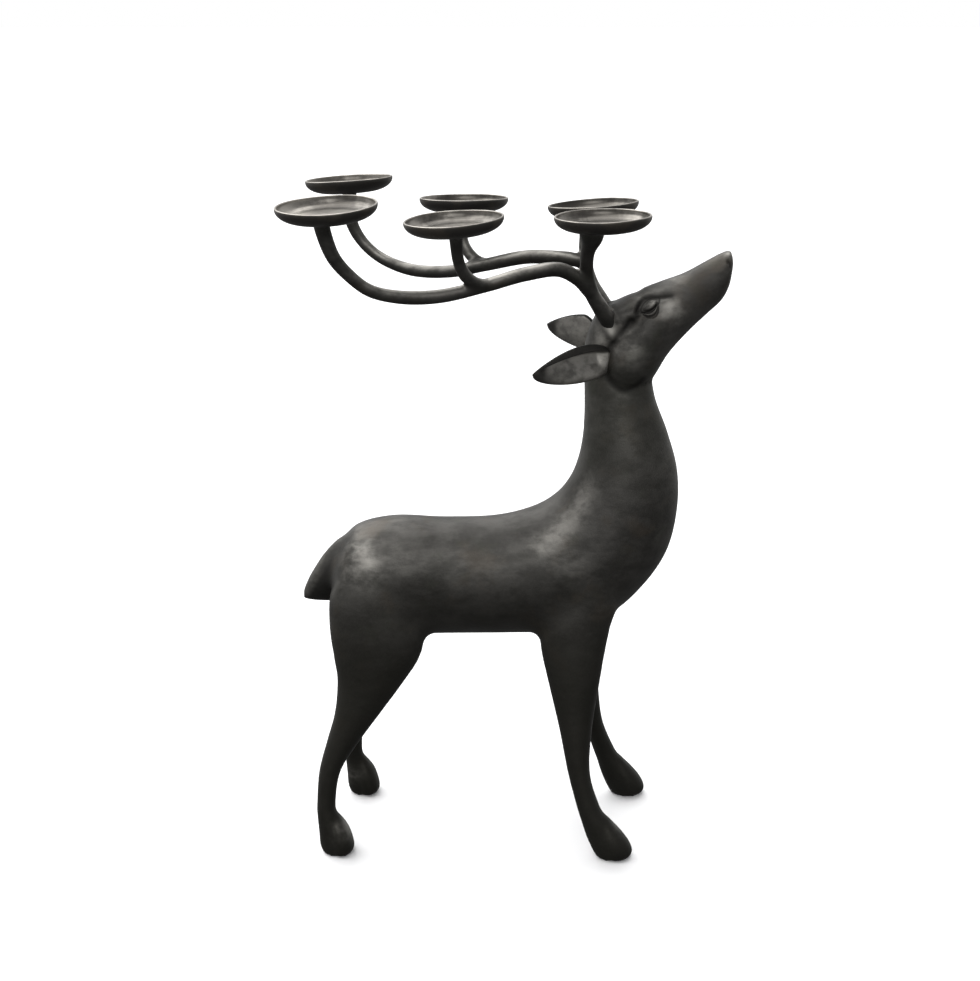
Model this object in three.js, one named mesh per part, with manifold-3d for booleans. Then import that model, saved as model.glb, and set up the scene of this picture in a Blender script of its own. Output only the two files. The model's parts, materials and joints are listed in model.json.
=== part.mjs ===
// A standing stag in cast iron that carries six candle dishes on its antlers.
// Millimetres, +Z up. The stag faces +X and its left side is +Y. It stands on the floor at Z = 0,
// with the middle of its box over the origin.

import * as THREE from "three";
import { LoftGeometry } from "three/addons/geometries/LoftGeometry.js";
import { mergeVertices } from "three/addons/utils/BufferGeometryUtils.js";
import Module from "manifold-3d";

const wasm = await Module();
wasm.setup();

// Gap left where two castings meet
const GAP = 0.3;

// Trunk and neck in side view, rump to crown: back line, belly line and half width
const TRUNK = [
  { upper: [-175, 275], lower: [-175, 268], half: 3 },
  { upper: [-174, 291], lower: [-174, 250], half: 22 },
  { upper: [-166, 310], lower: [-166, 231], half: 36 },
  { upper: [-148.5, 327.5], lower: [-143, 218], half: 45 },
  { upper: [-113, 335.5], lower: [-105, 215.5], half: 49 },
  { upper: [-65, 333.8], lower: [-55, 216], half: 49 },
  { upper: [-15, 335.5], lower: [5, 216.5], half: 49 },
  { upper: [21.5, 344.8], lower: [55, 218], half: 50 },
  { upper: [44.4, 358.7], lower: [98, 235], half: 50 },
  { upper: [58, 376.4], lower: [131.5, 267], half: 49 },
  { upper: [65.5, 397], lower: [153.5, 303], half: 46 },
  { upper: [69, 418], lower: [162, 345], half: 42 },
  { upper: [70, 440], lower: [160.5, 385], half: 38 },
  { upper: [69.6, 463], lower: [149.5, 423], half: 32 },
  { upper: [69, 487], lower: [136.5, 457], half: 27.5 },
  { upper: [69.5, 509], lower: [132, 488], half: 26 },
  { upper: [75.5, 529], lower: [131, 515], half: 26.5 },
  { upper: [84, 540.5], lower: [134, 534], half: 26.5 },
  { upper: [96, 547], lower: [138, 545], half: 23.5 },
  { upper: [109, 553.5], lower: [138, 552.5], half: 16 },
  { upper: [120, 557], lower: [130, 557], half: 3 },
];

// Face and jaw in side view, jaw corner to nose
const FACE = [
  { upper: [86.5, 494], lower: [87, 484], half: 9 },
  { upper: [88.5, 506], lower: [94.5, 468.5], half: 27 },
  { upper: [98, 523.5], lower: [112, 459], half: 32.5 },
  { upper: [108.5, 541], lower: [131.5, 472.5], half: 32.5 },
  { upper: [119, 557.4], lower: [147.3, 498.5], half: 30 },
  { upper: [137.2, 565.8], lower: [165.6, 520], half: 25.5 },
  { upper: [159.8, 574.2], lower: [182, 536], half: 20.5 },
  { upper: [180, 585.5], lower: [195, 548.5], half: 16 },
  { upper: [194, 593], lower: [201.5, 561.5], half: 13 },
  { upper: [201.5, 594.5], lower: [204, 577], half: 8.5 },
  { upper: [204, 588], lower: [204.5, 585], half: 1.5 },
];

// Tail in side view, tip to root
const TAIL = [
  { upper: [-204.5, 260], lower: [-204.5, 250], half: 5 },
  { upper: [-197, 276], lower: [-197, 249], half: 11 },
  { upper: [-180, 302], lower: [-181, 248], half: 15 },
  { upper: [-163, 317], lower: [-165, 249], half: 17 },
  { upper: [-140, 326], lower: [-150, 256], half: 18 },
];

// Legs as level slices, top to sole: height, rear and front edge, distance from the middle, half width
const FORELEG = [
  { z: 306, rear: 62, front: 82, y: 24, half: 8 },
  { z: 288, rear: 45, front: 100, y: 27, half: 20 },
  { z: 262, rear: 32, front: 107, y: 31, half: 20 },
  { z: 234, rear: 26.5, front: 97.5, y: 35, half: 19.5 },
  { z: 205, rear: 31.1, front: 91.5, y: 39, half: 18.5 },
  { z: 181, rear: 36.4, front: 87.5, y: 42, half: 17.5 },
  { z: 134, rear: 47, front: 79.7, y: 48, half: 14.5 },
  { z: 90, rear: 55.2, front: 77.3, y: 54, half: 11.5 },
  { z: 56, rear: 63.8, front: 86.4, y: 58, half: 11 },
  { z: 40, rear: 68.7, front: 96, y: 59.5, half: 11.5 },
  { z: 22, rear: 74.4, front: 109, y: 60.5, half: 12.5 },
  { z: 8, rear: 80.5, front: 116, y: 61, half: 13 },
  { z: 0, rear: 85, front: 113, y: 61, half: 11.5 },
];
const HINDLEG = [
  { z: 322, rear: -142, front: -118, y: 20, half: 8 },
  { z: 305, rear: -159, front: -101, y: 23.5, half: 18.5 },
  { z: 270, rear: -174.5, front: -87, y: 29, half: 23.5 },
  { z: 235, rear: -176.5, front: -81.5, y: 34, half: 24 },
  { z: 205, rear: -173, front: -88.5, y: 38, half: 22 },
  { z: 180, rear: -170, front: -104, y: 41, half: 19 },
  { z: 148, rear: -173, front: -127.5, y: 46, half: 15.5 },
  { z: 118, rear: -181.5, front: -149.5, y: 50.5, half: 12.5 },
  { z: 88, rear: -189.5, front: -168, y: 54.5, half: 10.5 },
  { z: 55, rear: -192.5, front: -174, y: 58, half: 10 },
  { z: 41, rear: -192.5, front: -172, y: 59.5, half: 10.5 },
  { z: 24, rear: -191.5, front: -166, y: 60, half: 11.5 },
  { z: 8, rear: -190.5, front: -161, y: 60, half: 12 },
  { z: 0, rear: -187.5, front: -164, y: 60, half: 11 },
];
const FORE_HOOF = [
  { z: 44, rear: 89, front: 94.5, y: 59.5, half: 4 },
  { z: 40, rear: 87, front: 97.5, y: 59.5, half: 8 },
  { z: 29, rear: 85.5, front: 107.5, y: 60.5, half: 12.8 },
  { z: 18, rear: 85.5, front: 116, y: 61, half: 15 },
  { z: 8, rear: 86, front: 120.5, y: 61, half: 15.2 },
  { z: 2.5, rear: 87.5, front: 119, y: 61, half: 14 },
  { z: 0, rear: 90, front: 115.5, y: 61, half: 12 },
];
const HIND_HOOF = [
  { z: 42, rear: -176, front: -171.5, y: 59.5, half: 4 },
  { z: 38, rear: -178.5, front: -168.5, y: 59.5, half: 8 },
  { z: 28, rear: -180.5, front: -162, y: 60, half: 12.8 },
  { z: 18, rear: -181, front: -158.5, y: 60, half: 15 },
  { z: 8, rear: -181, front: -156.5, y: 60, half: 15.2 },
  { z: 2.5, rear: -180, front: -158, y: 60, half: 14 },
  { z: 0, rear: -177, front: -161.5, y: 60, half: 12 },
];

// How far each foot stands forward and outward of the slices above; a leg reaches it by degrees
const STANCE = {
  fore: { right: [1.8, 7.5], left: [26.5, -2.5] },
  hind: { right: [0, 0], left: [17, 0] },
};
const STANCE_TOP = 235;
const STANCE_LOW = 40;

// Ears: half height, thickness, how pointed their upper edge is, then root and tip; the right one lies
// lower than the left. The leaf and its hollow are given by scale, shift outward and the shares of the
// length where they start and end
const EAR_HALF = 17.5;
const EAR_THICK = 6;
const EAR_POINT = 1.35;
const EAR_LEAF = { scale: 1, lift: 0, from: 0.04, to: 0.999 };
const EAR_HOLLOW = { scale: 0.72, lift: 5, from: 0.24, to: 0.92 };
const EAR_RINGS = 9;
const EARS = {
  right: { root: [98, -13, 497.5], tip: [18, -70, 494] },
  left: { root: [103, 12, 509], tip: [36, 66, 513] },
};

// Eyes, the fold over each of them and the groove from each eye down to the ear
const EYE = [125.5, 22, 546.4];
const EYE_LENGTH = 19;
const EYE_HEIGHT = 9;
const EYE_DEPTH = 5;
const EYE_SLANT = 34;
const BROW_FOLD = [
  [115, 25.6, 540],
  [116.5, 24, 547],
  [121, 18.6, 551.5],
  [127, 17, 554],
  [134, 19.8, 555],
  [146, 20.4, 556],
];
const CHEEK_GROOVE = [[113, 26, 537.5], [102, 25.9, 524], [92.5, 25.4, 512], [87, 26, 502]];
const GROOVE_RADIUS = 1.8;

// Antlers, as places on the middle line of each bar with distances from the middle plane, and how far
// the end of each bar is slid along the underside of its dish
const ANTLER = {
  right: {
    front: [[95, 14, 525], [89.5, 17, 533], [79.5, 21.3, 548], [72.3, 23.8, 560.7], [68, 28, 576.6],
      [67, 33.5, 587.5], [67.2, 41, 598.6]],
    back: [[71.5, 24.5, 560.5], [60, 31, 573.4], [42.2, 37.5, 583], [11.6, 46.5, 580.5], [-24, 60, 572.6],
      [-64, 78, 566.3], [-98, 93, 568.2], [-123, 103, 575.7], [-139, 108.6, 588.8], [-152.5, 112.6, 606]],
    middle: [[-19, 59, 573], [-33, 67, 576], [-42, 74.5, 584.5], [-47.2, 81, 597]],
    slide: { front: -10, middle: 0.7, back: -5 },
  },
  left: {
    front: [[97, 14, 525], [92, 17, 533], [83, 21.3, 548], [75.5, 23.8, 560.7], [70.5, 30, 577],
      [70, 36, 590], [71.5, 44, 603]],
    back: [[69, 28.5, 579], [60, 31, 581.5], [45.5, 37, 582.3], [15.3, 45.6, 581.7], [-24.3, 60, 572],
      [-59.2, 76, 563], [-98.7, 93.6, 562], [-129.5, 105, 572.5], [-147.5, 111, 587.8],
      [-157.6, 114, 606.4]],
    middle: [[-13.5, 56, 573], [-31.5, 70, 573.7], [-41, 80, 581], [-46.5, 86, 592]],
    slide: { front: -6, middle: -2.5, back: -0.5 },
  },
};

// Radius of each bar at even steps from its start to its dish
const BAR_RADII = {
  front: [9, 8, 7.1, 6.7, 6.3, 6.2, 7.3, 11.8],
  back: [6.6, 6.6, 6.1, 6.1, 5.5, 7],
  middle: [4.8, 5.7, 5.2, 6],
};
const BAR_STEPS = { front: 15, back: 28, middle: 8 };

// Length of a bar that stands square under its dish
const BAR_END = 5;

// Candle dishes: rim centre of each, how far it leans backward and outward in degrees, and the size
// they share
const DISHES = {
  right: {
    front: { rim: [79.3, 53, 633.4], back: 1.7, out: 1.1 },
    middle: { rim: [-51.2, 90, 635.6], back: 4.1, out: 2.1 },
    back: { rim: [-156.7, 115, 650], back: 2.6, out: 4.2 },
  },
  left: {
    front: { rim: [77.8, 53, 632], back: 4, out: 1.4 },
    middle: { rim: [-45.4, 90, 633], back: 0.2, out: 2 },
    back: { rim: [-159.3, 115, 649], back: 3.4, out: 1.3 },
  },
};
const DISH_RADIUS = 43.3;
const DISH_DEPTH = 13.8;
const FLAT_RADIUS = 21;
const FLOOR_RADIUS = 30;
const FLOOR_THICK = 4;
const RIM_THICK = 2;
const RIM_WALL = 1.6;

const IRON = { color: 0x3c3a37, roughness: 0.48, metalness: 0.75 };
const RUBBED = { color: 0x8f897d, roughness: 0.42, metalness: 0.8 };

// Points at equal steps on a smooth line through a list of places in a plane
function smoothLine(places, steps) {
  return new THREE.SplineCurve(places.map(([a, b]) => new THREE.Vector2(a, b))).getPoints(steps);
}

// One ring of points, placed from the cosine and sine of the angle
function ring(sides, place) {
  return Array.from({ length: sides }, (_, i) => {
    const angle = (i / sides) * 2 * Math.PI;
    return place(Math.cos(angle), Math.sin(angle));
  });
}

// A closed skin over a row of rings
function skin(rings) {
  return new THREE.BufferGeometry().copy(new LoftGeometry(rings, { capStart: true, capEnd: true }));
}

// A form drawn in side view: elliptic rings stand between an upper and a lower line
function sideForm(stations, steps, sides) {
  const upper = smoothLine(stations.map((s) => s.upper), steps);
  const lower = smoothLine(stations.map((s) => s.lower), steps);
  const half = smoothLine(stations.map((s, i) => [i, s.half]), steps);
  return skin(upper.map((top, i) => {
    const middle = top.clone().add(lower[i]).multiplyScalar(0.5);
    const reach = top.clone().sub(middle);
    return ring(sides, (c, s) => new THREE.Vector3(
      middle.x + reach.x * c, -half[i].y * s, middle.y + reach.y * c));
  }));
}

// A leg or hoof: elliptic level rings between a rear and a front edge, on one side of the body
function levelForm(slices, side, [forward, outward], steps, sides) {
  const rear = smoothLine(slices.map((s) => [s.rear, s.z]), steps);
  const front = smoothLine(slices.map((s) => [s.front, s.z]), steps);
  const across = smoothLine(slices.map((s) => [s.y, s.half]), steps);
  return skin(rear.map((back, i) => {
    const swing = 1 - THREE.MathUtils.smoothstep(back.y, STANCE_LOW, STANCE_TOP);
    const middle = (back.x + front[i].x) / 2 + forward * swing;
    const offset = side * (across[i].x + outward * swing);
    const reach = (front[i].x - back.x) / 2;
    return ring(sides, (c, s) => new THREE.Vector3(
      middle + reach * c, offset - across[i].y * s, back.y));
  }));
}

// A round bar along a smooth path; its radius follows the share of the length already run
function bar(places, radius, steps, sides) {
  const path = new THREE.CatmullRomCurve3(places);
  const { normals, binormals } = path.computeFrenetFrames(steps);
  return skin(normals.map((normal, i) => {
    const share = i / steps;
    const centre = path.getPointAt(share);
    const r = radius(share);
    return ring(sides, (c, s) => centre.clone()
      .addScaledVector(normal, r * c)
      .addScaledVector(binormals[i], r * s));
  }));
}

// A geometry as a solid ready to be joined or cut
function solid(geometry) {
  geometry.deleteAttribute("normal");
  geometry.deleteAttribute("uv");
  const welded = mergeVertices(geometry, 1e-4);
  return new wasm.Manifold(new wasm.Mesh({
    numProp: 3,
    vertProperties: new Float32Array(welded.attributes.position.array),
    triVerts: new Uint32Array(welded.index.array),
  }));
}

// A solid as a named mesh with its own material
function piece(name, shape, look) {
  const { vertProperties, triVerts } = shape.getMesh();
  const geometry = new THREE.BufferGeometry();
  geometry.setAttribute("position", new THREE.BufferAttribute(vertProperties, 3));
  geometry.setIndex(new THREE.BufferAttribute(triVerts, 1));
  geometry.computeVertexNormals();
  const mesh = new THREE.Mesh(geometry, new THREE.MeshStandardMaterial(look));
  mesh.name = name;
  return mesh;
}

const at = ([x, y, z], side = 1) => new THREE.Vector3(x, side * y, z);

const UP = new THREE.Vector3(0, 0, 1);

// Radius of a bar at a share of its length, on a smooth line through its list of radii
function radiusLine(radii) {
  const line = new THREE.SplineCurve(radii.map((r, i) => new THREE.Vector2(i, r)));
  return (share) => line.getPoint(share).y;
}

// An egg-shaped lump with three half sizes, turned about the Y axis and set in place
function lump(halves, slant, place) {
  const geometry = new THREE.SphereGeometry(1, 12, 8);
  geometry.scale(...halves);
  geometry.rotateY(-THREE.MathUtils.degToRad(slant));
  geometry.translate(place.x, place.y, place.z);
  return solid(geometry);
}

// A leaf-shaped ear with a hollow on its outer side
function ear({ root, tip }, side) {
  const start = at(root);
  const along = at(tip).sub(start);
  const flat = along.clone().cross(UP).normalize();
  const leaf = ({ scale, lift, from, to }) => skin(Array.from({ length: EAR_RINGS }, (_, i) => {
    const share = THREE.MathUtils.lerp(from, to, i / (EAR_RINGS - 1));
    const swell = Math.max(0.06, Math.sin(Math.PI * share ** 0.75) ** 0.6);
    const upper = swell ** EAR_POINT;
    const centre = start.clone().addScaledVector(along, share).addScaledVector(flat, side * lift);
    return ring(8, (c, s) => centre.clone()
      .addScaledVector(UP, scale * EAR_HALF * (c > 0 ? upper : swell) * c)
      .addScaledVector(flat, scale * EAR_THICK * swell * s));
  }));
  return solid(leaf(EAR_LEAF)).subtract(solid(leaf(EAR_HOLLOW)));
}

// The way a dish faces, a little backward and outward of straight up
function dishAxis({ back, out }, side) {
  const lean = [back, out].map((angle) => Math.tan(THREE.MathUtils.degToRad(angle)));
  return new THREE.Vector3(-lean[0], side * lean[1], 1).normalize();
}

// Places on a quarter ellipse from the level edge of a flat out and up to an upright wall
function bowl(flat, wall, low, high, angles) {
  return angles.map((angle) => {
    const turn = THREE.MathUtils.degToRad(angle);
    return [flat + (wall - flat) * Math.sin(turn), high - (high - low) * Math.cos(turn)];
  });
}

// A shallow dish with a thin rim, a flat floor and a flat underside
function dish(place, side) {
  const floor = FLOOR_THICK - DISH_DEPTH;
  const profile = [
    [0, -DISH_DEPTH],
    ...bowl(FLAT_RADIUS, DISH_RADIUS, -DISH_DEPTH, -RIM_WALL, [0, 30, 60, 90]),
    [DISH_RADIUS - RIM_THICK / 2, 0],
    ...bowl(FLOOR_RADIUS, DISH_RADIUS - RIM_THICK, floor, -RIM_THICK / 2, [90, 45, 0]),
    [0, floor],
  ];
  const turned = new THREE.LatheGeometry(profile.map(([r, h]) => new THREE.Vector2(r, h)), 24);
  turned.rotateX(Math.PI / 2);
  turned.applyQuaternion(new THREE.Quaternion().setFromUnitVectors(UP, dishAxis(place, side)));
  turned.translate(...at(place.rim, side));
  return solid(turned);
}

// The last two places of a bar, square to the underside of its dish and slid along it
function barTip(name, row, side) {
  const place = DISHES[name][row];
  const axis = dishAxis(place, side);
  const slide = new THREE.Vector3(ANTLER[name].slide[row], 0, 0).projectOnPlane(axis);
  const under = at(place.rim, side).add(slide);
  const depths = [DISH_DEPTH + BAR_END, DISH_DEPTH + GAP];
  return depths.map((depth) => under.clone().addScaledVector(axis, -depth));
}

// A bar of an antler up to its dish; the front one is grown a little to cut its own seat in the head
function branch(name, row, side, grow = 0) {
  const places = ANTLER[name][row].map((p) => at(p, side));
  places[0].addScaledVector(places[1].clone().sub(places[0]).normalize(), -grow);
  const radius = radiusLine(BAR_RADII[row]);
  const path = [...places, ...barTip(name, row, side)];
  return solid(bar(path, (share) => grow + radius(share), BAR_STEPS[row], 8));
}

function antler(name, side) {
  return branch(name, "front", side)
    .add(branch(name, "back", side))
    .add(branch(name, "middle", side));
}

const SIDES = [["right", -1], ["left", 1]];

// The body: trunk, neck, face and tail first, then what stands in pairs
let body = solid(sideForm(TRUNK, 32, 20))
  .add(solid(sideForm(FACE, 17, 16)))
  .add(solid(sideForm(TAIL, 5, 10)));
for (const [name, side] of SIDES) {
  body = body
    .add(solid(levelForm(FORELEG, side, STANCE.fore[name], 15, 10)))
    .add(solid(levelForm(HINDLEG, side, STANCE.hind[name], 17, 10)))
    .add(solid(levelForm(FORE_HOOF, side, STANCE.fore[name], 6, 10)))
    .add(solid(levelForm(HIND_HOOF, side, STANCE.hind[name], 6, 10)))
    .add(ear(EARS[name], side))
    .subtract(solid(bar(CHEEK_GROOVE.map((p) => at(p, side)), () => GROOVE_RADIUS, 4, 6)))
    .subtract(solid(bar(BROW_FOLD.map((p) => at(p, side)), () => GROOVE_RADIUS, 6, 5)))
    .add(lump([EYE_LENGTH / 2, EYE_DEPTH, EYE_HEIGHT / 2], EYE_SLANT, at(EYE, side)))
    .subtract(branch(name, "front", side, GAP));
}

const stag = new THREE.Group();
stag.name = "stag_candle_holder";
stag.add(piece("stag_body", body, IRON));
for (const [name, side] of SIDES) {
  stag.add(piece(`antler_${name}`, antler(name, side), IRON));
  for (const [row, place] of Object.entries(DISHES[name])) {
    stag.add(piece(`dish_${name}_${row}`, dish(place, side), RUBBED));
  }
}

export default stag;
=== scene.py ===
# %% [markdown]
# A stag candle holder in cast iron: a standing deer with its head raised, whose antlers sweep back
# over the body and carry shallow candle dishes. The packed CAD model is the fixed frame: it gives the
# real size and the place of every part. Each CAD part gets a smooth, detailed piece here that stands
# for it, in the same frame and in metres.

# %% Load the packed frame
import json
import math

import bmesh
import bpy
import numpy as np
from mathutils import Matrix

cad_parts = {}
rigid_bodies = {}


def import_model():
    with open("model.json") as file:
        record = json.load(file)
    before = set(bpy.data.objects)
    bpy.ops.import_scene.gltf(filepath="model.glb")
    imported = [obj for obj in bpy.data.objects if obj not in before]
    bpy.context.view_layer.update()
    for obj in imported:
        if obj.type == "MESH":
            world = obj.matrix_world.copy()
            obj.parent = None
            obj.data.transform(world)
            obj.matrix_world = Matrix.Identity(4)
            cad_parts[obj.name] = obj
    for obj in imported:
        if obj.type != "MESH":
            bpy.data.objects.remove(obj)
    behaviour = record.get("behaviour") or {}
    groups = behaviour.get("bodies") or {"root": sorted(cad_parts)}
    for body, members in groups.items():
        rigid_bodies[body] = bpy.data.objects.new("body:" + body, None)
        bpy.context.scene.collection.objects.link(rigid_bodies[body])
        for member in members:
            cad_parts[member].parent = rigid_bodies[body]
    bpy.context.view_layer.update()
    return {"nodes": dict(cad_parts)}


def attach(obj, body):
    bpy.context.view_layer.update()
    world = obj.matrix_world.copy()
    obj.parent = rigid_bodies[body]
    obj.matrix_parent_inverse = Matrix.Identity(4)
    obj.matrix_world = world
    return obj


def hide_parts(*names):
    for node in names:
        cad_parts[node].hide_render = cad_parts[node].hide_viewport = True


for leftover in list(bpy.data.objects):
    bpy.data.objects.remove(leftover)
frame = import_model()
MM = 0.001
print("CAD nodes:", sorted(frame["nodes"]))

# %% [markdown]
# Every form on the stag follows a smooth line through a few measured places. A Catmull-Rom spline is
# the simplest such line: it goes through each place, in the direction of its two neighbours, so a
# measurement can be read straight off a list. A Bezier curve object would also do, but a formula in
# numpy gives all the points at once.

# %% Smooth lines through measured places
def smooth_line(places, count, pull=0.0):
    """Catmull-Rom spline: between two places a cubic, whose slope at each place comes from its neighbours.
    The time between places is their distance to the power of pull: 0 is even, 0.5 avoids overshoot."""
    p = np.asarray(places, float)
    q = np.vstack([2 * p[0] - p[1], p, 2 * p[-1] - p[-2]])
    time = np.linalg.norm(np.diff(q, axis=0), axis=1)[:, None] ** pull
    step = np.diff(q, axis=0) / time
    slope = step[:-1] + step[1:] - (q[2:] - q[:-2]) / (time[:-1] + time[1:])
    at = np.linspace(0, len(p) - 1, count)
    i = np.minimum(at.astype(int), len(p) - 2)
    f = (at - i)[:, None]
    rise = p[i + 1] - p[i]
    leave = slope[i] * time[i + 1]
    arrive = slope[i + 1] * time[i + 1]
    return p[i] + leave * f + (3 * rise - 2 * leave - arrive) * f**2 + (leave + arrive - 2 * rise) * f**3


def smoothstep(x, low, high):
    """0 below low, 1 above high, and 3t^2 - 2t^3 between them"""
    t = np.clip((np.asarray(x, float) - low) / (high - low), 0, 1)
    return t * t * (3 - 2 * t)


def bump(x, centre, width):
    """A bell that is 1 at the centre and about a third at one width from it"""
    return np.exp(-(((x - centre) / width) ** 2))


print("a line through 3 places:", smooth_line([[0, 0], [1, 1], [2, 0]], 5).round(3).tolist())

# %% [markdown]
# The trunk and neck are one barrel that turns upward at the chest. In side view it has a back line and
# a belly line, so an ellipse between the two lines, carried from the rump to the crown, gives the
# whole barrel. The face and the tail are made in the same way. Sculpting would need many strokes to
# reach the same even curves.

# %% Trunk, face and tail in side view
# Each row: upper line x and z, lower line x and z, half width, in millimetres
TRUNK = [
    (-175, 275, -175, 268, 3), (-174, 291, -174, 250, 22), (-166, 310, -166, 231, 36),
    (-148.5, 327.5, -143, 218, 45), (-113, 335.5, -105, 215.5, 49), (-65, 333.8, -55, 216, 49),
    (-15, 335.5, 5, 216.5, 49), (21.5, 344.8, 55, 218, 50), (44.4, 358.7, 98, 235, 50),
    (58, 376.4, 131.5, 267, 49), (65.5, 397, 153.5, 303, 46), (69, 418, 162, 345, 42),
    (70, 440, 160.5, 385, 38), (69.6, 463, 149.5, 423, 32), (69, 487, 136.5, 457, 27.5),
    (69.5, 509, 132, 488, 26), (75.5, 529, 131, 515, 26.5), (84, 540.5, 134, 534, 26.5),
    (96, 547, 138, 545, 23.5), (109, 553.5, 138, 552.5, 16), (120, 557, 130, 557, 3),
]
FACE = [
    (86.5, 494, 87, 484, 9), (88.5, 506, 94.5, 468.5, 27), (98, 523.5, 112, 459, 32.5),
    (108.5, 541, 131.5, 472.5, 32.5), (119, 557.4, 147.3, 498.5, 30), (137.2, 565.8, 165.6, 520, 25.5),
    (159.8, 574.2, 182, 536, 20.5), (180, 585.5, 195, 548.5, 16), (194, 593, 201.5, 561.5, 13),
    (201.5, 594.5, 204, 577, 8.5), (204, 588, 204.5, 585, 1.5),
]
TAIL = [
    (-204.5, 260, -204.5, 250, 5), (-197, 276, -197, 249, 11), (-180, 302, -181, 248, 15),
    (-163, 317, -165, 249, 17), (-140, 326, -150, 256, 18),
]


def side_form(stations, rings, sides):
    """Grid of station share and angle: the middle of the two lines plus half their distance times the
    cosine of the angle in side view, and half width times its sine across"""
    line = smooth_line(stations, rings)
    angle = np.linspace(0, 2 * np.pi, sides, endpoint=False)
    middle = (line[:, 0:2] + line[:, 2:4]) / 2
    reach = (line[:, 0:2] - line[:, 2:4]) / 2
    x = middle[:, :1] + reach[:, :1] * np.cos(angle)
    y = line[:, 4:] * np.sin(angle)
    z = middle[:, 1:] + reach[:, 1:] * np.cos(angle)
    return np.stack([x, y, z], axis=-1)


body_shells = [side_form(TRUNK, 200, 96), side_form(FACE, 120, 80), side_form(TAIL, 60, 48)]
print("side forms:", [shell.shape for shell in body_shells])

# %% [markdown]
# The legs swell into haunch and shoulder at the top and run out thin to a small dark hoof. They are
# easiest to measure in level slices: how far back and forward each slice reaches, and how far it is
# from the middle. The left feet stand further forward than the right ones, so each slice moves by a
# share of its foot's step that grows from none at the haunch to the whole step at the ankle.

# %% Legs and hooves in level slices
# Each row: height, rear edge, front edge, distance from the middle, half width, in millimetres
FORELEG = [
    (306, 62, 82, 24, 8), (288, 45, 100, 27, 20), (262, 32, 107, 31, 20), (234, 26.5, 97.5, 35, 19.5),
    (205, 31.1, 91.5, 39, 18.5), (181, 36.4, 87.5, 42, 17.5), (134, 47, 79.7, 48, 14.5),
    (90, 55.2, 77.3, 54, 11.5), (56, 63.8, 86.4, 58, 11), (40, 68.7, 96, 59.5, 11.5),
    (22, 74.4, 109, 60.5, 12.5), (8, 80.5, 116, 61, 13), (0, 85, 113, 61, 11.5),
]
HINDLEG = [
    (322, -142, -118, 20, 8), (305, -159, -101, 23.5, 18.5), (270, -174.5, -87, 29, 23.5),
    (235, -176.5, -81.5, 34, 24), (205, -173, -88.5, 38, 22), (180, -170, -104, 41, 19),
    (148, -173, -127.5, 46, 15.5), (118, -181.5, -149.5, 50.5, 12.5), (88, -189.5, -168, 54.5, 10.5),
    (55, -192.5, -174, 58, 10), (41, -192.5, -172, 59.5, 10.5), (24, -191.5, -166, 60, 11.5),
    (8, -190.5, -161, 60, 12), (0, -187.5, -164, 60, 11),
]
FORE_HOOF = [
    (44, 89, 94.5, 59.5, 4), (40, 87, 97.5, 59.5, 8), (29, 85.5, 107.5, 60.5, 12.8),
    (18, 85.5, 116, 61, 15), (8, 86, 120.5, 61, 15.2), (2.5, 87.5, 119, 61, 14), (0, 90, 115.5, 61, 12),
]
HIND_HOOF = [
    (42, -176, -171.5, 59.5, 4), (38, -178.5, -168.5, 59.5, 8), (28, -180.5, -162, 60, 12.8),
    (18, -181, -158.5, 60, 15), (8, -181, -156.5, 60, 15.2), (2.5, -180, -158, 60, 14),
    (0, -177, -161.5, 60, 12),
]
# How far each foot stands forward and outward
STEP = {"fore": {"right": (1.8, 7.5), "left": (26.5, -2.5)}, "hind": {"right": (0, 0), "left": (17, 0)}}
STEP_LOW, STEP_TOP = 40, 235
SIDES = {"right": -1, "left": 1}


def level_form(slices, side, step, rings, sides):
    """Grid of slice share and angle: a level ellipse between the rear and front edges, moved by the
    foot's step times 1 - smoothstep of its height"""
    z, rear, front, away, half = smooth_line(slices, rings).T[:, :, None]
    angle = np.linspace(0, 2 * np.pi, sides, endpoint=False)
    swing = 1 - smoothstep(z, STEP_LOW, STEP_TOP)
    x = (rear + front) / 2 + step[0] * swing + (front - rear) / 2 * np.cos(angle)
    y = side * (away + step[1] * swing) + half * np.sin(angle)
    return np.stack([x, y, z + 0 * angle], axis=-1)


for name, side in SIDES.items():
    body_shells.append(level_form(FORELEG, side, STEP["fore"][name], 150, 56))
    body_shells.append(level_form(HINDLEG, side, STEP["hind"][name], 160, 56))
    body_shells.append(level_form(FORE_HOOF, side, STEP["fore"][name], 60, 56))
    body_shells.append(level_form(HIND_HOOF, side, STEP["hind"][name], 60, 56))
print("body shells:", len(body_shells))

# %% [markdown]
# The founder cast the body in one pour, so its forms run into one another. Joining the shells with a
# Boolean modifier would keep hard creases between them. The voxel Remesh modifier instead wraps one
# even skin of small squares round everything, and such a skin is easy to soften afterwards.

# %% One skin round several shells
def tube_faces(rings, sides):
    """Squares between neighbouring rings, as four arrays of point numbers"""
    i, j = np.meshgrid(np.arange(rings - 1), np.arange(sides), indexing="ij")
    k = (j + 1) % sides
    corners = [i * sides + j, i * sides + k, (i + 1) * sides + k, (i + 1) * sides + j]
    return np.stack(corners, axis=-1).reshape(-1, 4)


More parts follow.
